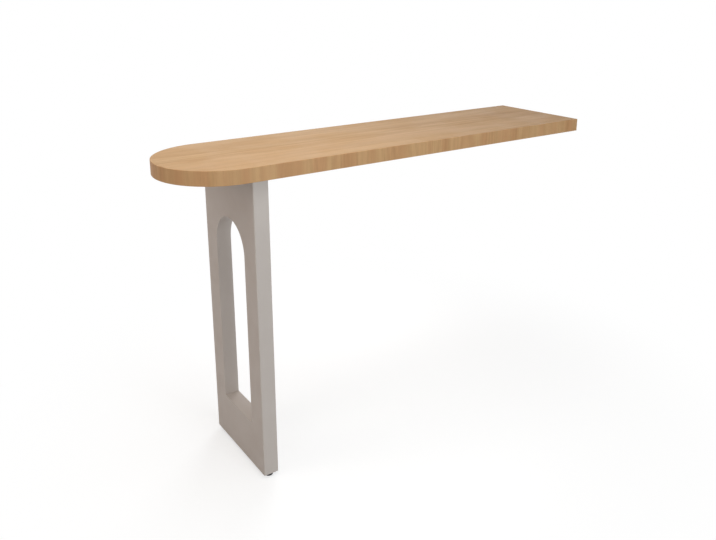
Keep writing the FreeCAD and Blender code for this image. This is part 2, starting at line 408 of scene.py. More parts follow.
# %% Model the tray
FOLD_RADIUS = 0.004  # outside of the folds
FOLD_STEPS = 6
ARCH_STEPS = 40
CUT_EASE = 0.0004  # cut edges of the sheet, rounded by the paint
z_arch_middle = (z_sill + z_crown) / 2


def arch_outline(name, x):
    """A doorway shape with a round head, standing across the table."""
    piece = new_sheet(name, (z_crown - z_sill, 2 * arch_half), (x, 0, z_arch_middle), FACING_X)
    round_corners(piece, arch_half, ARCH_STEPS, lambda corner: corner.co.z > z_arch_middle)
    return piece


def punch_arch(piece):
    """Cut the doorway through a piece of the leg."""
    cutter = arch_outline("arch_punch", leg_low.x - sheet)
    pull(cutter, (leg_high.x - leg_low.x + 2 * sheet, 0, 0))
    combine(piece, cutter, "DIFFERENCE")


def on_face_side(corner):
    return corner.co.x < x_leg


leg_tray = box_side("leg_tray", leg_low, leg_high)
round_corners(leg_tray, FOLD_RADIUS, FOLD_STEPS, on_face_side)
open_outline(leg_tray, lies_at("X", leg_high.x))
pull(leg_tray, (0, 0, leg_high.z - leg_low.z))
thicken(leg_tray, sheet, INWARDS)
punch_arch(leg_tray)
ease(leg_tray, CUT_EASE, steps=3, test=sharp_at("X", leg_low.x))
hand_over(leg_tray, "leg_paint", "leg_shell")

# %% [markdown]
# ## The leg's back and the lining of the arch
#
# A flat sheet with the same arch closes the tray. A bent strip lines the jambs and the crown, and a
# short flat one is the sill. The strip is the arch's own outline, without its lower edge, pulled
# through the leg and thickened outwards, so it fits the two arched sheets with no measuring.

# %% Model the back and the lining
SILL_EASE = 0.0001
back_low, back_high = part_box("leg_back_sheet")
leg_back = box_side("leg_back", back_low, back_high, upright=True)
pull(leg_back, (sheet, 0, 0))
punch_arch(leg_back)
ease(leg_back, CUT_EASE, steps=3, test=sharp_at("X", back_high.x))
hand_over(leg_back, "leg_paint", "leg_back_sheet")

arch_lining = arch_outline("arch_lining", liner_low.x)
open_outline(arch_lining, lies_at("Z", z_sill))
pull(arch_lining, (liner_high.x - liner_low.x, 0, 0))
thicken(arch_lining, sheet, OUTWARDS)
hand_over(arch_lining, "leg_paint", "arch_liner")

sill_strip = box_side("sill_strip", sill_low, sill_high)
pull(sill_strip, (0, 0, sheet))
ease(sill_strip, SILL_EASE, steps=1)
hand_over(sill_strip, "leg_paint", "sill_liner")

# %% [markdown]
# ## The plates at the leg's two ends
#
# The head plate is the flange that screws to the board; it has rounded corners and four holes. The
# foot plate closes the lower end and carries the levelling feet. Both are plain plates, so they are
# slabs with drilled holes and eased edges. The holes' places come from the boxes of screws and feet.

# %% Find the screws and the feet
BUTTON_RADIUS = 0.006
screws_low, screws_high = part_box("leg_screws")
screw_places = [
    (x, y)
    for x in (screws_low.x + BUTTON_RADIUS, screws_high.x - BUTTON_RADIUS)
    for y in (screws_low.y + BUTTON_RADIUS, screws_high.y - BUTTON_RADIUS)
]
foot_places = {}
for end in ("front", "rear"):
    pad_low, pad_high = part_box(end + "_foot_base")
    foot_places[end] = ((pad_low.x + pad_high.x) / 2, (pad_low.y + pad_high.y) / 2)
print(len(screw_places), "screws and", len(foot_places), "feet found")

# %% Model the plates
HEAD_CORNER = (0.010, 10)  # radius of a rounded corner and its facets
FOOT_CORNER = (0.003, 5)
PLATE_EASE = 0.0005
SCREW_HOLE = 0.0066
STUD_HOLE = 0.009
head_low, head_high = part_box("head_plate")
foot_low, foot_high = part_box("foot_plate")


def plate(name, low, high, corner, rounded):
    """A level slab with the corners that pass a test rounded."""
    piece = box_side(name, low, high)
    round_corners(piece, *corner, rounded)
    pull(piece, (0, 0, high.z - low.z))
    return piece


head_flange = plate("head_flange", head_low, head_high, HEAD_CORNER, lambda corner: True)
drill(head_flange, SCREW_HOLE, screw_places, head_low.z)
ease(head_flange, PLATE_EASE)
hand_over(head_flange, "leg_paint", "head_plate")

foot_flange = plate("foot_flange", foot_low, foot_high, FOOT_CORNER, on_face_side)
drill(foot_flange, STUD_HOLE, foot_places.values(), foot_low.z)
ease(foot_flange, PLATE_EASE)
hand_over(foot_flange, "leg_paint", "foot_plate")

# %% [markdown]
# ## Lathe work and threads
#
# Screws, studs, pads and inserts are turned parts. A lathe is a spin: one corner is extruded along the
# outline, and the outline is spun round the axis. A thread is a small triangle that the Screw modifier
# winds up the shank. A texture could fake it, but these parts are kept as meshes too, so the ridge is
# real and is joined to its shank.

# %% Helpers for turning
def outline(name, points):
    """A chain of edges through points, extruded corner by corner and left in edit mode."""
    piece = new_sheet(name, (1, 1), (0, 0, 0))
    work_on(piece, "EDIT")
    bpy.ops.mesh.select_mode(type="VERT")
    bpy.ops.mesh.select_all(action="SELECT")
    bpy.ops.mesh.merge(type="CENTER")
    bpy.ops.transform.translate(value=points[0])
    for before, after in zip(points, points[1:]):
        step = tuple(b - a for a, b in zip(before, after))
        bpy.ops.mesh.extrude_vertices_move(TRANSFORM_OT_translate={"value": step})
    return piece


def turned(name, profile, place, steps):
    """Spin (radius, height) points round an upright axis."""
    piece = outline(name, [(place[0] + radius, place[1], z) for radius, z in profile])
    bpy.ops.mesh.select_all(action="SELECT")
    bpy.ops.mesh.spin(steps=steps, angle=2 * math.pi, center=(*place, 0), axis=(0, 0, 1))
    tidy_normals()
    bpy.ops.object.mode_set(mode="OBJECT")
    return piece


print("turning helpers ready")

# %% Helpers for threads and hexagons
RIDGE_SHARE = 0.8  # share of the pitch that a thread's ridge takes up
HEX_CHAMFER = 0.0006
BLANK_SIDES = 48
BLANK_SIZE = 1.01  # the round blank reaches a little past the hexagon's corners


def wind_thread(piece, thread, run, low, high, place, steps):
    """Wind a right-handed ridge up a piece's shank and join it to the piece."""
    foot, crest, pitch = thread
    low += run[0]
    high -= run[1]
    rise = RIDGE_SHARE * pitch
    ridge = outline("ridge", [(foot, 0, 0), (crest, 0, rise / 2), (foot, 0, rise), (foot, 0, 0)])
    bpy.ops.mesh.select_all(action="SELECT")
    bpy.ops.mesh.remove_doubles(threshold=DOUBLED)
    turns = int((high - low) / pitch - RIDGE_SHARE)
    winding = {"axis": "Z", "angle": 2 * math.pi, "screw_offset": pitch, "iterations": turns}
    modify(ridge, "SCREW", steps=steps, render_steps=steps, **winding)
    ridge.location = (*place, low)
    ridge.rotation_euler.z = math.pi / steps  # half a step, so that no corner meets the shank's edges
    bpy.ops.object.transform_apply()
    work_on(ridge, "EDIT")
    bpy.ops.mesh.select_all(action="SELECT")
    bpy.ops.mesh.fill_holes(sides=0)
    tidy_normals()
    combine(piece, ridge, "UNION")


def hex_bar(name, flats, low, high, place):
    """A hexagon with its corners turned off, as on a nut."""
    corner = flats / math.sqrt(3)
    middle = (*place, (low + high) / 2)
    piece = new_rod(name, corner, high - low, middle, 6, (0, 0, math.pi / 6))
    blank_turn = (0, 0, math.pi / BLANK_SIDES)
    blank = new_rod("blank", corner * BLANK_SIZE, high - low, middle, BLANK_SIDES, blank_turn)
    ease(blank, HEX_CHAMFER, steps=1)
    combine(piece, blank, "INTERSECT")
    return piece


print("thread and hexagon helpers ready")

# %% [markdown]
# ## Weld seams under the head plate
#
# The plate is held to the leg's two broad faces by short fillet welds. A weld is a row of overlapping
# puddles. A row of balls would show the same ripples, but their hidden halves would stay inside the
# seam. All the balls share one axis, so the seam is a turned part too: a scalloped outline, spun and
# then laid down in the corner.

# %% Model the weld seams
WELD_RADIUS = 0.0032
WELD_SIDES = 20
PUDDLES = 24
PUDDLE_STEP = 0.0021
PUDDLE_FACET = math.radians(10)  # stretch of a puddle's arc that one facet covers
WELD_PLACES = (-0.088, 0.0, 0.088)


def weld_outline():
    """A row of overlapping balls as one outline, with the row's middle at height zero."""
    meet = math.acos(PUDDLE_STEP / 2 / WELD_RADIUS)
    points = []
    for puddle in range(PUDDLES):
        centre = (puddle - (PUDDLES - 1) / 2) * PUDDLE_STEP
        start = 0.0 if puddle == 0 else meet
        end = math.pi if puddle == PUDDLES - 1 else math.pi - meet
        facets = round((end - start) / PUDDLE_FACET)
        for count in range(1 if points else 0, facets + 1):
            angle = start + (end - start) * count / facets
            points.append((WELD_RADIUS * math.sin(angle), centre - WELD_RADIUS * math.cos(angle)))
    return points


def repeat(piece, places, slot, *solids):
    """Copy a piece, made at the first place, to the others, and hand all of them over."""
    row = [piece]
    stem = piece.name
    piece.name = stem + "_1"
    for count, (x, y) in enumerate(places[1:], start=2):
        work_on(piece)
        bpy.ops.object.duplicate(linked=False)
        copy = bpy.context.object
        copy.name = "%s_%d" % (stem, count)
        copy.location = (x - places[0][0], y - places[0][1], 0)
        bpy.ops.object.transform_apply()
        row.append(copy)
    for each in row:
        hand_over(each, slot, *solids)


seam_places = [(x, y) for x in (leg_low.x, leg_high.x) for y in WELD_PLACES]
seam = turned("head_weld", weld_outline(), (0, 0), WELD_SIDES)
seam.rotation_euler.x = math.pi / 2
seam.location = (*seam_places[0], leg_high.z)
bpy.ops.object.transform_apply()
repeat(seam, seam_places, "leg_paint")

# %% [markdown]
# ## Screws and inserts that hold the leg
#
# Four button-head screws go up through the head plate into threaded brass inserts in the board. The
# head is a short cylinder with its lower rim rounded far in, and a six-sided bar punches the socket.
# Head, shank and thread are joined into one closed shape.

# %% Model the leg's screws
BUTTON_SIDES = 48
BUTTON_ROUND = 0.0026
HEX_KEY = 0.004  # across flats
KEY_DEPTH = 0.0019
HEAD_OVERLAP = 0.0008  # how far a shank reaches into its head
SHANK_STEPS = 24
BOLT_SHANK = 0.0025
BOLT_POINT = (0.0019, 0.0006)  # radius of the tip, and height of the taper
BOLT_THREAD = (0.0023, 0.0030, 0.001)  # radii of the ridge's foot, inside the shank, and crest; pitch
BOLT_RUN = (0.0006, 0.0002)  # from the seat to the thread, and from the thread to the tip


def add_shank(screw, shank, point, thread, run, seat, tip, place):
    """Join a threaded shank with a tapered end to a screw's head."""
    start = seat - HEAD_OVERLAP
    profile = [(0, start), (shank, start), (shank, tip - point[1]), (point[0], tip), (0, tip)]
    combine(screw, turned("shank", profile, place, SHANK_STEPS), "UNION")
    wind_thread(screw, thread, run, seat, tip, place, SHANK_STEPS)


first_screw = screw_places[0]
z_seat = head_low.z
z_button = screws_low.z
button_middle = (*first_screw, (z_button + z_seat) / 2)
bolt = new_rod("leg_bolt", BUTTON_RADIUS, z_seat - z_button, button_middle, BUTTON_SIDES)
ease(bolt, BUTTON_ROUND, steps=7, test=sharp_at("Z", z_button))
key = new_rod("key", HEX_KEY / math.sqrt(3), 2 * KEY_DEPTH, (*first_screw, z_button), sides=6)
combine(bolt, key, "DIFFERENCE")
add_shank(bolt, BOLT_SHANK, BOLT_POINT, BOLT_THREAD, BOLT_RUN, z_seat, screws_high.z, first_screw)
repeat(bolt, screw_places, "zinc_steel", "leg_screws")

# %% Model the inserts
INSERT_BODY = 0.0045
INSERT_BORE = 0.00305
INSERT_MOUTH = 0.0004  # chamfer of the bore
INSERT_POINT = (0.0037, 0.0012)
INSERT_THREAD = (0.0042, 0.0050, 0.0025)
INSERT_RUN = (0.0006, 0.0008)
INSERT_STEPS = 40
insert_low, insert_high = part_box("leg_inserts")
z_low = insert_low.z
z_high = insert_high.z
insert_outline = [
    (INSERT_BORE, z_low + INSERT_MOUTH),
    (INSERT_BORE + INSERT_MOUTH, z_low),
    (INSERT_BODY, z_low),
    (INSERT_BODY, z_high - INSERT_POINT[1]),
    (INSERT_POINT[0], z_high),
    (INSERT_BORE, z_high),
    (INSERT_BORE, z_low + INSERT_MOUTH),
]
sleeve = turned("insert", insert_outline, first_screw, INSERT_STEPS)
wind_thread(sleeve, INSERT_THREAD, INSERT_RUN, z_low, z_high, first_screw, INSERT_STEPS)
repeat(sleeve, screw_places, "insert_brass", "leg_inserts")

# %% [markdown]
# ## Levelling feet
#
# Each foot is a moulded pad that stands on the floor, and a zinc-plated stud that is captive in it.
# Turning the hexagon screws the stud in a nut welded on the foot plate, so pad and stud ride on bodies
# of their own. The outlines below follow the solids, with the rounds a mould and a lathe leave.

# %% Model the pads
PAD_STEPS = 56
PAD_ROUND = 0.0006
HOLLOW_DEPTH = 0.0006  # of the hollow under the pad
HOLLOW_RADIUS = 0.0084
SOLE_RADIUS = 0.0092  # where the hollow's slope meets the floor
SKIRT_HEIGHT = 0.0030
CROWN_RADIUS = 0.0095
NECK_RADIUS = 0.00405
POCKET_RADIUS = 0.00605  # the pocket holds the stud's flange
POCKET_FLOOR = 0.00145
POCKET_TOP = 0.00355

for end, place in foot_places.items():
    pad_low, pad_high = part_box(end + "_foot_base")
    pad_radius = (pad_high.x - pad_low.x) / 2
    pad_outline = [
        (0, HOLLOW_DEPTH),
        (HOLLOW_RADIUS, HOLLOW_DEPTH),
        (SOLE_RADIUS, pad_low.z),
        (pad_radius, pad_low.z),
        (pad_radius, SKIRT_HEIGHT),
        (CROWN_RADIUS, pad_high.z),
        (NECK_RADIUS, pad_high.z),
        (NECK_RADIUS, POCKET_TOP),
        (POCKET_RADIUS, POCKET_TOP),
        (POCKET_RADIUS, POCKET_FLOOR),
        (0, POCKET_FLOOR),
    ]
    pad = turned(end + "_pad_moulding", pad_outline, place, PAD_STEPS)
    for z in (pad_low.z, SKIRT_HEIGHT, pad_high.z):
        ease(pad, PAD_ROUND, steps=3, test=sharp_at("Z", z))
    hand_over(pad, "black_nylon", end + "_foot_base", body=end + "_pad")

# %% Model the studs and nuts
STUD_SHANK = 0.0034
STUD_NECK = 0.0040
STUD_POINT = (0.0026, 0.0008)
STUD_THREAD = (0.0031, 0.0040, 0.00125)
STUD_RUN = (-0.0002, 0.0003)  # the thread starts inside the hexagon
STUD_STEPS = 36
STUD_FLATS = 0.013
HEX_RANGE = (0.00655, 0.01055)  # heights of the stud's hexagon
HEX_OVERLAP = 0.001  # how far the thinner shank reaches into it
FLANGE_RADIUS = 0.0060
FLANGE_HEIGHT = 0.0020
FLANGE_CHAMFER = 0.0003
NUT_FLATS = 0.014
NUT_BORE = 0.0081
nut_low, nut_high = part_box("leveller_nuts")
neck_top = HEX_RANGE[1] - HEX_OVERLAP

for end, place in foot_places.items():
    stud_low, stud_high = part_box(end + "_foot_stud")
    z_low = stud_low.z
    z_high = stud_high.z
    stud_outline = [
        (0, z_low),
        (FLANGE_RADIUS - FLANGE_CHAMFER, z_low),
        (FLANGE_RADIUS, z_low + FLANGE_CHAMFER),
        (FLANGE_RADIUS, z_low + FLANGE_HEIGHT),
        (STUD_NECK, z_low + FLANGE_HEIGHT),
        (STUD_NECK, neck_top),
        (STUD_SHANK, neck_top),
        (STUD_SHANK, z_high - STUD_POINT[1]),
        (STUD_POINT[0], z_high),
        (0, z_high),
    ]
    stud = turned(end + "_levelling_stud", stud_outline, place, STUD_STEPS)
    combine(stud, hex_bar("hexagon", STUD_FLATS, *HEX_RANGE, place), "UNION")
    wind_thread(stud, STUD_THREAD, STUD_RUN, HEX_RANGE[1], z_high, place, STUD_STEPS)
    hand_over(stud, "zinc_steel", end + "_foot_stud", body=end + "_stud")

    nut = hex_bar(end + "_weld_nut", NUT_FLATS, nut_low.z, nut_high.z, place)
    drill(nut, NUT_BORE, [place], nut_low.z)
    hand_over(nut, "zinc_steel", "leveller_nuts")

# %% [markdown]
# ## The bracket at the wall
#
# One leg can't hold the table, so a folded steel angle under the square end screws to the wall. It is
# a bent strip again: two sides of a small rectangle with the fold's corner rounded, pulled across the
# table. Two pan-head wood screws hold it to the board.

# %% Fold the wall bracket
BRACKET_SHEET = 0.003
BRACKET_FOLD = 0.005  # outside of the fold
BRACKET_CORNER = 0.004
BRACKET_STEPS = 6
bracket_low, bracket_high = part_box("wall_angle")


def is_fold(corner):
    return near(corner.co.x, bracket_high.x) and near(corner.co.z, bracket_high.z)


def is_free_side(edge):
    return lies_at("Z", bracket_low.z)(edge) or lies_at("X", bracket_low.x)(edge)


def is_flange_corner(edge):
    """The short edges at the four free corners of the bracket's flanges."""
    at_end = lies_at("Y", bracket_low.y)(edge) or lies_at("Y", bracket_high.y)(edge)
    return at_end and is_free_side(edge)


bracket_size = (bracket_high.x - bracket_low.x, bracket_high.z - bracket_low.z)
bracket_middle = (bracket_low + bracket_high) / 2
bracket_end = (bracket_middle.x, bracket_low.y, bracket_middle.z)
wall_bracket = new_sheet("wall_bracket", bracket_size, bracket_end, FACING_Y)
round_corners(wall_bracket, BRACKET_FOLD, BRACKET_STEPS, is_fold)
open_outline(wall_bracket, is_free_side)
pull(wall_bracket, (0, bracket_high.y - bracket_low.y, 0))
thicken(wall_bracket, BRACKET_SHEET, INWARDS)
ease(wall_bracket, BRACKET_CORNER, BRACKET_STEPS, is_flange_corner)
print("bracket waits for its holes")

# %% Drill the wall bracket
BRACKET_EASE = 0.0003
WALL_HOLE = 0.0065
WALL_HOLE_INSET = 0.040  # from the bracket's end
WALL_HOLE_RISE = 0.011
WOOD_SCREW_HOLE = 0.0046
PAN_RADIUS = 0.004
wood_low, wood_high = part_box("wall_angle_screws")
wood_x = (wood_low.x + wood_high.x) / 2
wood_places = [(wood_x, wood_low.y + PAN_RADIUS), (wood_x, wood_high.y - PAN_RADIUS)]
wall_hole_ends = (bracket_low.y + WALL_HOLE_INSET, bracket_high.y - WALL_HOLE_INSET)
wall_places = [(bracket_high.x, y) for y in wall_hole_ends]

drill(wall_bracket, WALL_HOLE, wall_places, bracket_low.z + WALL_HOLE_RISE, FACING_X)
drill(wall_bracket, WOOD_SCREW_HOLE, wood_places, bracket_high.z)
ease(wall_bracket, BRACKET_EASE)
hand_over(wall_bracket, "leg_paint", "wall_angle")

# %% Model the wood screws
PAN_ROUND = 0.0016
CROSS = (0.0046, 0.0009)  # length and width of an arm of the cross recess
CROSS_DEPTH = 0.0013
WOOD_SHANK = 0.0014
WOOD_POINT = (0.0002, 0.004)
WOOD_THREAD = (0.0011, 0.0020, 0.0018)
WOOD_RUN = (0.0035, 0.0015)

first_wood = wood_places[0]
z_pan_seat = bracket_high.z - BRACKET_SHEET
z_pan = wood_low.z
pan_middle = (*first_wood, (z_pan + z_pan_seat) / 2)
wood_screw = new_rod("bracket_screw", PAN_RADIUS, z_pan_seat - z_pan, pan_middle)
ease(wood_screw, PAN_ROUND, steps=6, test=sharp_at("Z", z_pan))
for size in (CROSS, CROSS[::-1]):
    arm = new_sheet("arm", size, (*first_wood, z_pan - CROSS_DEPTH))
    pull(arm, (0, 0, 2 * CROSS_DEPTH))
    combine(wood_screw, arm, "DIFFERENCE")
add_shank(wood_screw, WOOD_SHANK, WOOD_POINT, WOOD_THREAD, WOOD_RUN, z_pan_seat, wood_high.z, first_wood)
repeat(wood_screw, wood_places, "zinc_steel", "wall_angle_screws")

# %% Drill the backing
INSERT_HOLE = 0.0101
WOOD_HOLE = 0.0041
drill(backing_sheet, INSERT_HOLE, screw_places, backer_low.z)
drill(backing_sheet, WOOD_HOLE, wood_places, backer_low.z)
ease(backing_sheet, JOINT_EASE, steps=1, test=sharp_at("Z", backer_low.z))
hand_over(backing_sheet, "backer", "backer_laminate")

# %% [markdown]
# ## Building finishes from nodes
#
# A finish is a small tree of nodes that turns a place on the piece into colour, gloss and relief.
# Every piece sits at the origin with its place in its mesh, so Object coordinates are simply metres on
# the table. The helpers below add one node each, so that a finish reads like a recipe.

# %% Helpers for single nodes
def feed(tree, made, inputs):
    """Set a node's inputs to plain values, or link them to other nodes' outputs."""
    for name, value in inputs.items():
        if isinstance(value, bpy.types.NodeSocket):
            tree.links.new(value, made.inputs[name])
        else:
            made.inputs[name].default_value = value


def node(tree, kind, inputs=None, **settings):
    """Add a node, set its options and feed its inputs."""
    made = tree.nodes.new("ShaderNode" + kind)
    for name, value in settings.items():
        setattr(made, name, value)
    feed(tree, made, inputs or {})
    return made


def calc(tree, operation, a, b):
    return node(tree, "Math", {0: a, 1: b}, operation=operation).outputs[0]


def remap(tree, value, low, high, to_low=0.0, to_high=1.0):
    """Stretch one range of values smoothly onto another."""
    ranges = {"Value": value, "From Min": low, "From Max": high, "To Min": to_low, "To Max": to_high}
    return node(tree, "MapRange", ranges, interpolation_type="SMOOTHSTEP").outputs["Result"]


def stretched(tree, place, amounts):
    return node(tree, "VectorMath", {0: place, 1: amounts}, operation="MULTIPLY").outputs["Vector"]


def noise(tree, place, scale, detail, roughness=0.5):
    settings = {"Vector": place, "Scale": scale, "Detail": detail, "Roughness": roughness}
    return node(tree, "TexNoise", settings).outputs[0]


def mixed(tree, share, first, second):
    """One colour going over into another."""
    return node(tree, "Mix", {0: share, 6: first, 7: second}, data_type="RGBA").outputs[2]


def relief(tree, height, depth):
    """Turn a height into a bump of some depth in metres."""
    return node(tree, "Bump", {"Height": height, "Strength": 1.0, "Distance": depth}).outputs["Normal"]


print("node helpers ready")

# %% Helpers for groups and finishes
PLACE = "NodeSocketVector"
NUMBER = "NodeSocketFloat"


def new_group(name, inputs, outputs):
    """An empty node group with named inputs, and named outputs that are numbers."""
    group = bpy.data.node_groups.new(name, "ShaderNodeTree")
    for label, kind in inputs.items():
        group.interface.new_socket(name=label, in_out="INPUT", socket_type=kind)
    for label in outputs:
        group.interface.new_socket(name=label, in_out="OUTPUT", socket_type=NUMBER)
    return group, group.nodes.new("NodeGroupInput"), group.nodes.new("NodeGroupOutput")


def effect(tree, group, **inputs):
    """Place one of the groups in a finish, with its own values."""
    return node(tree, "Group", inputs, node_tree=group).outputs


def new_finish(name):
    """A material with one shader, and the place on the piece to start from."""
    material = bpy.data.materials.new(name)
    material.use_nodes = True
    tree = material.node_tree
    shader = tree.nodes["Principled BSDF"]
    place = node(tree, "TexCoord").outputs["Object"]
    return material, tree, shader, place


def dress(slot, material, *carried):
    """Put a finish on the pieces of its slot, and on solids that are shown as they are."""
    for piece in pieces_in.get(slot, []):
        piece.data.materials.clear()
        piece.data.materials.append(material)
    for name in carried:
        for material_slot in nodes[name].material_slots:
            material_slot.material = material
    print(material.name, "on", len(pieces_in.get(slot, [])) + len(carried), "pieces")


print("group and finish helpers ready")

# %% [markdown]
# ## Effects that several finishes share
#
# Wood grain is noise stretched along the fibre: broad bands of tone, the flowing lines of the growth
# rings, thin fibres and short dark pores. The growth lines are the contour lines of a slow noise, which
# gives the long pointed arches of sawn timber. Handling leaves soft patches of more and less gloss, and
# coatings and mouldings have a fine skin. Each is a node group, made once and used with its own values.

# %% Group for wood grain
RING_NOISE = (0.5, 4.4, 1.5)  # cycles per metre along the fibre and across it, and detail
BAND_NOISE = (0.9, 17.0, 2.0)
FIBRE_NOISE = (5.0, 150.0, 3.0, 0.6)  # the last number is the roughness
PORE_NOISE = (30.0, 850.0, 1.0)
ZONE_NOISE = (0.4, 8.0, 1.0)
RING_FOLDS = 46.0  # the more folds, the closer the growth lines
RING_RANGE = (0.2, 0.95)  # part of the noise that is stretched to full contrast
BAND_RANGE = (0.35, 0.65)
FIBRE_RANGE = (0.35, 0.68)
PORE_RANGE = (0.6, 0.72)
ZONE_RANGE = (0.4, 0.6)
FIBRE_STRENGTH = (0.35, 1.3)  # in calm zones and in lively ones

grain, grain_in, grain_out = new_group("grain", {"Place": PLACE}, ("Bands", "Rings", "Fibre", "Pores"))


def drawn_out(along, across, detail, roughness=0.5):
    """Noise drawn out along the fibre."""
    place = stretched(grain, grain_in.outputs["Place"], (along, across, across))
    return noise(grain, place, 1.0, detail, roughness)


slow = calc(grain, "MULTIPLY", drawn_out(*RING_NOISE), RING_FOLDS)
fibres = remap(grain, drawn_out(*FIBRE_NOISE), *FIBRE_RANGE)
lively = remap(grain, drawn_out(*ZONE_NOISE), *ZONE_RANGE, *FIBRE_STRENGTH)
feed(grain, grain_out, {
    "Bands": remap(grain, drawn_out(*BAND_NOISE), *BAND_RANGE),
    "Rings": remap(grain, calc(grain, "PINGPONG", slow, 1.0), *RING_RANGE),
    "Fibre": calc(grain, "MULTIPLY", fibres, lively),
    "Pores": remap(grain, drawn_out(*PORE_NOISE), *PORE_RANGE),
})
print("grain group has", len(grain.nodes), "nodes")

# %% Groups for handling and skin
PATCH_RANGE = (0.3, 0.7)
scaled_place = {"Place": PLACE, "Scale": NUMBER}

handling, handling_in, handling_out = new_group("handling", scaled_place, ("Patches",))
place, scale = handling_in.outputs[:2]
patches = noise(handling, place, scale, detail=4.0, roughness=0.6)
feed(handling, handling_out, {"Patches": remap(handling, patches, *PATCH_RANGE)})

skin, skin_in, skin_out = new_group("skin", scaled_place, ("Height",))
place, scale = skin_in.outputs[:2]
feed(skin, skin_out, {"Height": noise(skin, place, scale, detail=1.5)})
print("handling and skin groups ready")

# %% [markdown]
# ## Oak decor on face and lipping
#
# The face is a printed oak decor with a satin coat, its grain along the table. On the lipping the
# grain stands upright, so it shows as pale and reddish bands side by side. Turning the coordinates so
# that the fibre runs up the lipping gives those bands, and they follow the round end by themselves
# because the noise is solid.

# %% Make the oak decor
DECOR_SHEEN = 0.2
DECOR_ROUGHNESS = (0.46, 0.56)
FIBRE_ROUGHNESS = 0.06  # what the fibres add to it
TOUCH_SCALE = 7.0
PORE_DEPTH = 0.00002


def oak_decor(name, fibre, pale, layers):
    """A printed oak decor whose fibre runs along the first of three axes."""
    material, tree, shader, place = new_finish(name)
    axes = node(tree, "SeparateXYZ", {0: place}).outputs
    turned_axes = {number: axes[axis] for number, axis in enumerate(fibre)}
    wood = effect(tree, grain, Place=node(tree, "CombineXYZ", turned_axes).outputs[0])
    colour = pale
    for layer, tone, strength in layers:
        colour = mixed(tree, calc(tree, "MULTIPLY", wood[layer], strength), colour, tone)
    touch = effect(tree, handling, Place=place, Scale=TOUCH_SCALE)["Patches"]
    fibre_gloss = calc(tree, "MULTIPLY", wood["Fibre"], FIBRE_ROUGHNESS)
    solid_wood = calc(tree, "SUBTRACT", 1.0, wood["Pores"])
    feed(tree, shader, {
        "Base Color": colour,
        "Roughness": calc(tree, "ADD", remap(tree, touch, 0, 1, *DECOR_ROUGHNESS), fibre_gloss),
        "Specular IOR Level": DECOR_SHEEN,
        "Normal": relief(tree, solid_wood, PORE_DEPTH),
    })
    return material


print("oak decor ready")

# %% Finish the board
PORE = (0.30, 0.17, 0.08, 1)
FACE_PALE = (0.618, 0.391, 0.204, 1)
FACE_WARM = (0.562, 0.331, 0.161, 1)
FACE_DARK = (0.430, 0.241, 0.107, 1)
EDGE_PALE = (0.620, 0.380, 0.186, 1)
EDGE_WARM = (0.561, 0.296, 0.139, 1)
EDGE_DARK = (0.400, 0.205, 0.081, 1)
FACE_LAYERS = (  # each layer of the grain with its tone and strength
    ("Bands", FACE_WARM, 0.75),
    ("Rings", FACE_DARK, 0.24),
    ("Fibre", FACE_DARK, 0.4),
    ("Pores", PORE, 0.3),
)
EDGE_LAYERS = (
    ("Bands", EDGE_WARM, 0.75),
    ("Rings", EDGE_DARK, 0.2),
    ("Fibre", EDGE_DARK, 0.28),
    ("Pores", PORE, 0.25),
)

dress("face_decor", oak_decor("oak_face", "XYZ", FACE_PALE, FACE_LAYERS))
dress("edge_decor", oak_decor("oak_edge", "ZXY", EDGE_PALE, EDGE_LAYERS))
dress("end_decor", oak_decor("oak_end", "ZYX", EDGE_PALE, EDGE_LAYERS))

# %% [markdown]
# ## Backing and core
#
# The backing is a plain beige sheet with a fine sanded skin. It drifts a little between two tones and
# two degrees of gloss, and so do the paint, the metals and the nylon that follow, so one function makes
# all of them. The two core boards inside are raw chipboard: small flat chips of different tone, made
# with a cell texture squashed in height.

# %% Finish the backing
BACKING_DEEP = (0.40, 0.34, 0.27, 1)
BACKING_LIGHT = (0.45, 0.385, 0.31, 1)


def two_tone(
    name, tones, tone_scale, roughness, skin_scale, skin_depth,
    skin_stretch=(1, 1, 1), gloss_scale=None, metal=0.0, sheen=0.5,
):
    """A finish that drifts between two tones and two degrees of gloss, over a fine skin."""
    material, tree, shader, place = new_finish(name)
    tone = effect(tree, handling, Place=place, Scale=tone_scale)["Patches"]
    gloss = effect(tree, handling, Place=place, Scale=gloss_scale or tone_scale)["Patches"]
    skin_place = stretched(tree, place, skin_stretch)
    height = effect(tree, skin, Place=skin_place, Scale=skin_scale)["Height"]
    feed(tree, shader, {
        "Base Color": mixed(tree, tone, *tones),
        "Roughness": remap(tree, gloss, 0, 1, *roughness),
        "Metallic": metal,
        "Specular IOR Level": sheen,
        "Normal": relief(tree, height, skin_depth),
    })
    return material


dress("backer", two_tone(
    "beige_backing", (BACKING_DEEP, BACKING_LIGHT), tone_scale=14.0, roughness=(0.55, 0.68),
    skin_scale=1800.0, skin_depth=0.00003, skin_stretch=(0.15, 1, 1),
))

# %% Finish the core boards
CHIP_DARK = (0.34, 0.22, 0.12, 1)
CHIP_PALE = (0.58, 0.43, 0.27, 1)
CHIP_SQUASH = (1.0, 1.0, 4.0)
CHIPS_PER_METRE = 330.0
CHIP_ROUGHNESS = (0.75, 0.9)
CHIP_DEPTH = 0.00015

material, tree, shader, place = new_finish("raw_chipboard")
flat_place = stretched(tree, place, CHIP_SQUASH)
chips = node(tree, "TexVoronoi", {"Vector": flat_place, "Scale": CHIPS_PER_METRE}).outputs["Color"]
chip_tone = node(tree, "SeparateColor", {0: chips}).outputs[0]
feed(tree, shader, {
    "Base Color": mixed(tree, chip_tone, CHIP_DARK, CHIP_PALE),
    "Roughness": remap(tree, chip_tone, 0, 1, *CHIP_ROUGHNESS),
    "Normal": relief(tree, chip_tone, CHIP_DEPTH),
})
dress("core_board", material, "upper_core_board", "lower_core_board")

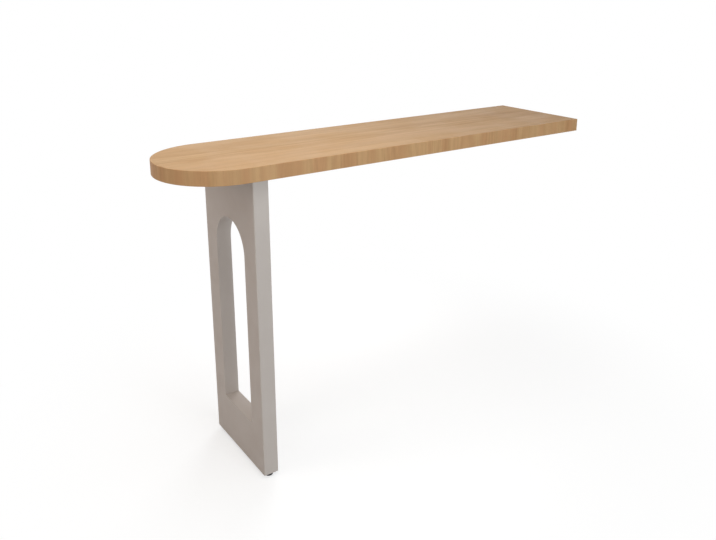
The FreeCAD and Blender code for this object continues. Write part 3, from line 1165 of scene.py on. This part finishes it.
# %% [markdown]
# ## Powder coat on the steel
#
# The leg is sprayed with a grey-beige powder that melts into a satin skin with a faint orange-peel
# relief. The colour hardly varies; the gloss varies more, where hands and shoes touch it. So the
# colour gets a slight cloud, and the roughness, in smaller patches, and the bump do the rest.

# %% Finish the painted steel
PAINT_DEEP = (0.599, 0.531, 0.482, 1)
PAINT_LIGHT = (0.626, 0.558, 0.509, 1)
dress("leg_paint", two_tone(
    "greige_powder_coat", (PAINT_DEEP, PAINT_LIGHT), tone_scale=5.0, roughness=(0.42, 0.52),
    skin_scale=520.0, skin_depth=0.00012, gloss_scale=23.0, sheen=0.25,
))

# %% [markdown]
# ## Metal and nylon of the small parts
#
# Zinc plate is a bright metal with a faint blue and straw cast that drifts over the surface. Brass is
# warmer and shows the fine rings of turning. The pads are black nylon with a spark-eroded mould skin.

# %% Finish the small parts
ZINC_BLUE = (0.60, 0.62, 0.64, 1)
ZINC_STRAW = (0.66, 0.64, 0.57, 1)
BRASS_BRIGHT = (0.74, 0.55, 0.25, 1)
BRASS_DULL = (0.62, 0.43, 0.19, 1)
NYLON_DEEP = (0.014, 0.014, 0.015, 1)
NYLON_SCUFFED = (0.03, 0.03, 0.031, 1)

dress("zinc_steel", two_tone(
    "bright_zinc", (ZINC_BLUE, ZINC_STRAW), tone_scale=260.0, roughness=(0.24, 0.38),
    skin_scale=900.0, skin_depth=0.00002, skin_stretch=(1, 1, 12), metal=1.0,
))
dress("insert_brass", two_tone(
    "turned_brass", (BRASS_BRIGHT, BRASS_DULL), tone_scale=180.0, roughness=(0.25, 0.42),
    skin_scale=900.0, skin_depth=0.00002, skin_stretch=(0.05, 0.05, 9), metal=1.0,
))
dress("black_nylon", two_tone(
    "black_nylon", (NYLON_DEEP, NYLON_SCUFFED), tone_scale=120.0, roughness=(0.45, 0.62),
    skin_scale=2600.0, skin_depth=0.00006,
))

# %% [markdown]
# ## Floor and background
#
# The photograph has a plain white ground. A pale floor takes the soft shadow, and for rays that come
# from the camera or from a mirror it glows just enough to reach white where no shadow falls. The world
# is white for those rays too, and dimmer as a lamp. From below, the floor lets the view through.

# %% Make the floor
FLOOR_SIZE = 30.0
FLOOR_COLOUR = (0.55, 0.55, 0.55, 1)
FLOOR_GLOW = 0.60
SHADOW_REACH = (0.5, 1.5)  # the floor goes over into plain white between these distances
WHITE = (1, 1, 1, 1)


def seen_rays(tree):
    """One for camera, mirror and glass rays, and zero for the light that pieces scatter."""
    rays = node(tree, "LightPath").outputs
    mirror = calc(tree, "MAXIMUM", rays["Is Glossy Ray"], rays["Is Transmission Ray"])
    return calc(tree, "MAXIMUM", rays["Is Camera Ray"], mirror)


def blended(tree, share, first, second):
    """One shader going over into another."""
    return node(tree, "MixShader", {0: share, 1: first, 2: second}).outputs[0]


floor = new_sheet("floor", (FLOOR_SIZE, FLOOR_SIZE), (0, 0, 0))

material = bpy.data.materials.new("pale_floor")
material.use_nodes = True
tree = material.node_tree
tree.nodes.clear()
matt = node(tree, "BsdfDiffuse", {"Color": FLOOR_COLOUR}).outputs[0]
glow = node(tree, "Emission", {"Color": WHITE, "Strength": FLOOR_GLOW}).outputs[0]
lifted = node(tree, "AddShader", {0: matt, 1: glow}).outputs[0]
place = node(tree, "TexCoord").outputs["Object"]
distance = node(tree, "VectorMath", {0: place}, operation="LENGTH").outputs["Value"]
plain = node(tree, "Emission", {"Color": WHITE, "Strength": 1.0}).outputs[0]
fading = blended(tree, remap(tree, distance, *SHADOW_REACH), lifted, plain)
upper = blended(tree, seen_rays(tree), matt, fading)
clear = node(tree, "BsdfTransparent").outputs[0]
below = node(tree, "NewGeometry").outputs["Backfacing"]
node(tree, "OutputMaterial", {"Surface": blended(tree, below, upper, clear)})
floor.data.materials.append(material)
print("floor", FLOOR_SIZE, "m across")

# %% Set the background
WORLD_LEVEL = 0.275
WORLD_COLOUR = (1.0, 0.876, 0.794, 1)

world = bpy.data.worlds.new("studio")
bpy.context.scene.world = world
world.use_nodes = True
tree = world.node_tree
tree.nodes.clear()
dim = node(tree, "Background", {"Color": WORLD_COLOUR, "Strength": WORLD_LEVEL}).outputs[0]
white = node(tree, "Background", {"Color": WHITE, "Strength": 1.0}).outputs[0]
node(tree, "OutputWorld", {"Surface": blended(tree, seen_rays(tree), dim, white)})
bpy.context.scene.view_settings.view_transform = "Standard"
print("background lights at", WORLD_LEVEL)

# %% [markdown]
# ## Studio lamps
#
# Six soft lamps give the photograph's even light: one in front for the long edge and the leg's narrow
# side, one above for the board's left half, two on the left for the leg's broad face, one that reaches
# the sill through the arch, and one for what is seen from behind. One strong lamp would leave hard
# shadows. No lamp shows itself to the camera, and the last two stay out of reflections too.

# %% Set the lamps
LAMPS = (  # name, place, aim, size, power, colour, shown in reflections
    ("top_lamp", (-0.5, -0.3, 2.1), (-0.45, 0.0, 1.05), 1.2, 11.5, (0.929, 0.983, 1.0), True),
    ("left_lamp", (-2.6, 0.3, 2.3), (-0.5, 0.0, 0.5), 1.4, 5.9, (0.931, 1.0, 0.967), True),
    ("leg_lamp", (-2.7, 0.3, 1.25), (-0.55, 0.0, 0.6), 0.9, 6.3, (1.0, 0.845, 0.75), True),
    ("front_lamp", (0.0, -4.6, 1.7), (0.0, 0.0, 0.9), 2.5, 94.2, (0.825, 0.929, 1.0), True),
    ("sill_lamp", (0.5, 1.15, 0.95), (-0.55, 0.0, 0.2), 0.6, 4.8, (1.0, 1.0, 1.0), False),
    ("back_lamp", (2.8, 3.2, 1.2), (0.0, 0.0, 0.8), 2.5, 75.0, (0.82, 0.92, 1.0), False),
)

for name, place, aim, size, power, colour, mirrored in LAMPS:
    clear_selection()
    bpy.ops.object.light_add(type="AREA", location=place)
    lamp = bpy.context.object
    lamp.name = name
    lamp.rotation_euler = (Vector(aim) - Vector(place)).to_track_quat("-Z", "Y").to_euler()
    lamp.data.size = size
    lamp.data.energy = power
    lamp.data.color = colour
    lamp.visible_camera = False
    lamp.visible_glossy = mirrored
    print(name, power, "W")
